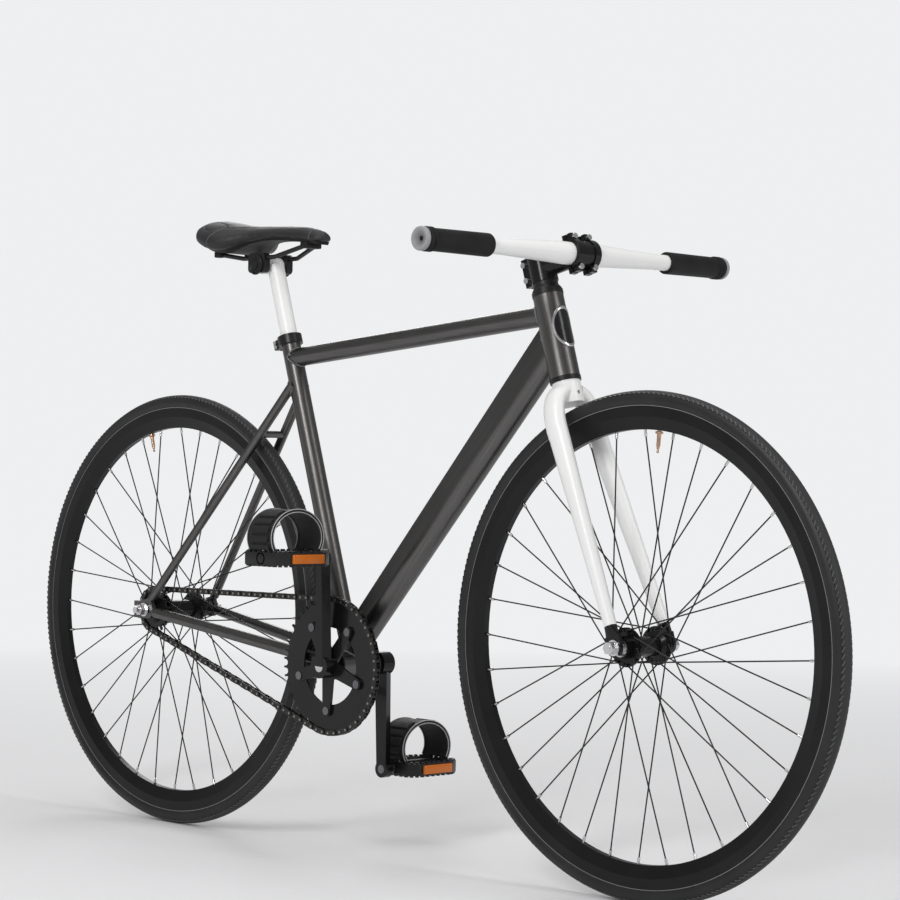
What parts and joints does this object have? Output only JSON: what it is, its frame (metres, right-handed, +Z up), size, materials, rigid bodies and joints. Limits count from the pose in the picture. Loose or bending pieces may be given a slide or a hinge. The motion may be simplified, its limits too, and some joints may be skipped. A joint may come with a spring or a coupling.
{
  "type": "fixed gear bike",
  "caption": "Fixed gear bicycle with a diamond frame, straight fork and handlebar, deep rims, a single-speed chain drive and platform pedals with foot straps.",
  "frame": {"origin": "on the ground, midway between the two wheel axles in the bicycle's middle plane", "axes": "+X forward, +Y to the rider's left, +Z up"},
  "size_m": [1.6369, 0.602, 0.9416],
  "materials": {
    "frame_grey": "satin",
    "fork_white": "gloss",
    "post_white": "gloss",
    "black_alloy": "satin",
    "steel": "polished",
    "black_steel": "satin",
    "chain_steel": "satin",
    "nipple_brass": "polished",
    "tyre": "matte",
    "tube_rubber": "matte",
    "grip_rubber": "satin",
    "plug_grey": "satin",
    "pedal_plastic": "satin",
    "strap_web": "matte",
    "amber": "gloss",
    "saddle_leather": "satin"
  },
  "bodies": {
    "frame": {"head_tube": "frame_grey", "top_tube": "frame_grey", "down_tube": "frame_grey", "seat_tube": "frame_grey", "bottom_bracket_shell": "frame_grey", "chainstays": "frame_grey", "seatstays": "frame_grey", "stay_bridges": "frame_grey", "track_ends": "frame_grey", "seat_clamp": "black_alloy", "headset_cups": "black_alloy", "headset_bearings": "steel", "bottom_bracket_cartridge": "steel", "rear_axle": "steel", "chain": "chain_steel"},
    "fork": {"fork_steerer": "steel", "fork_crown": "fork_white", "fork_blades": "fork_white", "fork_tips": "fork_white", "headset_spacers": "black_alloy", "stem": "black_alloy", "stem_faceplate": "black_alloy", "stem_bolts": "steel", "top_cap": "black_alloy", "front_axle": "steel"},
    "handlebar": {"handlebar": "post_white", "grips": "grip_rubber", "bar_end_plugs": "plug_grey"},
    "front_wheel": {"front_tyre": "tyre", "front_inner_tube": "tube_rubber", "front_rim": "black_alloy", "front_spokes": "black_steel", "front_nipples": "nipple_brass", "front_hub": "black_alloy", "front_hub_bearings": "steel"},
    "rear_wheel": {"rear_tyre": "tyre", "rear_inner_tube": "tube_rubber", "rear_rim": "black_alloy", "rear_spokes": "black_steel", "rear_nipples": "nipple_brass", "rear_hub": "black_alloy", "rear_hub_bearings": "steel", "rear_cog": "black_steel"},
    "crankset": {"crank_arm_right": "black_alloy", "crank_arm_left": "black_alloy", "chainring": "black_alloy", "chainring_bolts": "steel", "crank_spindle": "steel", "pedal_spindles": "steel"},
    "pedal_right": {"pedal_body_right": "pedal_plastic", "pedal_strap_right": "strap_web", "pedal_reflectors_right": "amber"},
    "pedal_left": {"pedal_body_left": "pedal_plastic", "pedal_strap_left": "strap_web", "pedal_reflectors_left": "amber"},
    "seatpost": {"seatpost": "post_white"},
    "saddle_clamp": {"saddle_cradle": "black_alloy"},
    "saddle": {"saddle_shell": "pedal_plastic", "saddle_cover": "saddle_leather", "saddle_rails": "black_steel"}
  },
  "joints": [
    {"name": "steering", "type": "hinge", "parent": "frame", "child": "fork", "pos_m": [0.3382, 0, 0.68938], "axis": [-0.289, 0, 0.9573], "range_deg": [-70, 70]},
    {"name": "handlebar_roll", "type": "hinge", "parent": "fork", "child": "handlebar", "pos_m": [0.36114, 0, 0.8556], "axis": [0, 1, 0], "range_deg": [-45, 45]},
    {"name": "front_wheel_spin", "type": "hinge", "parent": "fork", "child": "front_wheel", "pos_m": [0.4825, 0, 0.336], "axis": [0, 1, 0], "continuous": true},
    {"name": "rear_wheel_spin", "type": "hinge", "parent": "frame", "child": "rear_wheel", "pos_m": [-0.4825, 0, 0.336], "axis": [0, 1, 0], "continuous": true, "deforming": ["chain"]},
    {"name": "crank_spin", "type": "hinge", "parent": "frame", "child": "crankset", "pos_m": [-0.07298, 0, 0.275], "axis": [0, 1, 0], "continuous": true},
    {"name": "pedal_spin_right", "type": "hinge", "parent": "crankset", "child": "pedal_right", "pos_m": [-0.06747, -0.137, 0.4329], "axis": [0, 1, 0], "continuous": true},
    {"name": "pedal_spin_left", "type": "hinge", "parent": "crankset", "child": "pedal_left", "pos_m": [-0.07849, 0.137, 0.1171], "axis": [0, 1, 0], "continuous": true},
    {"name": "seatpost_height", "type": "slide", "parent": "frame", "child": "seatpost", "axis": [-0.304, 0, 0.9527], "range_m": [-0.06, 0.03]},
    {"name": "saddle_tilt", "type": "hinge", "parent": "seatpost", "child": "saddle_clamp", "pos_m": [-0.27379, 0, 0.8666], "axis": [0, 1, 0], "range_deg": [-12, 12]},
    {"name": "saddle_fore_aft", "type": "slide", "parent": "saddle_clamp", "child": "saddle", "axis": [1, 0, 0], "range_m": [-0.01, 0.01]}
  ],
  "couplings": [
    {"joint": "crank_spin", "follows": "rear_wheel_spin", "ratio": 0.33333}
  ]
}
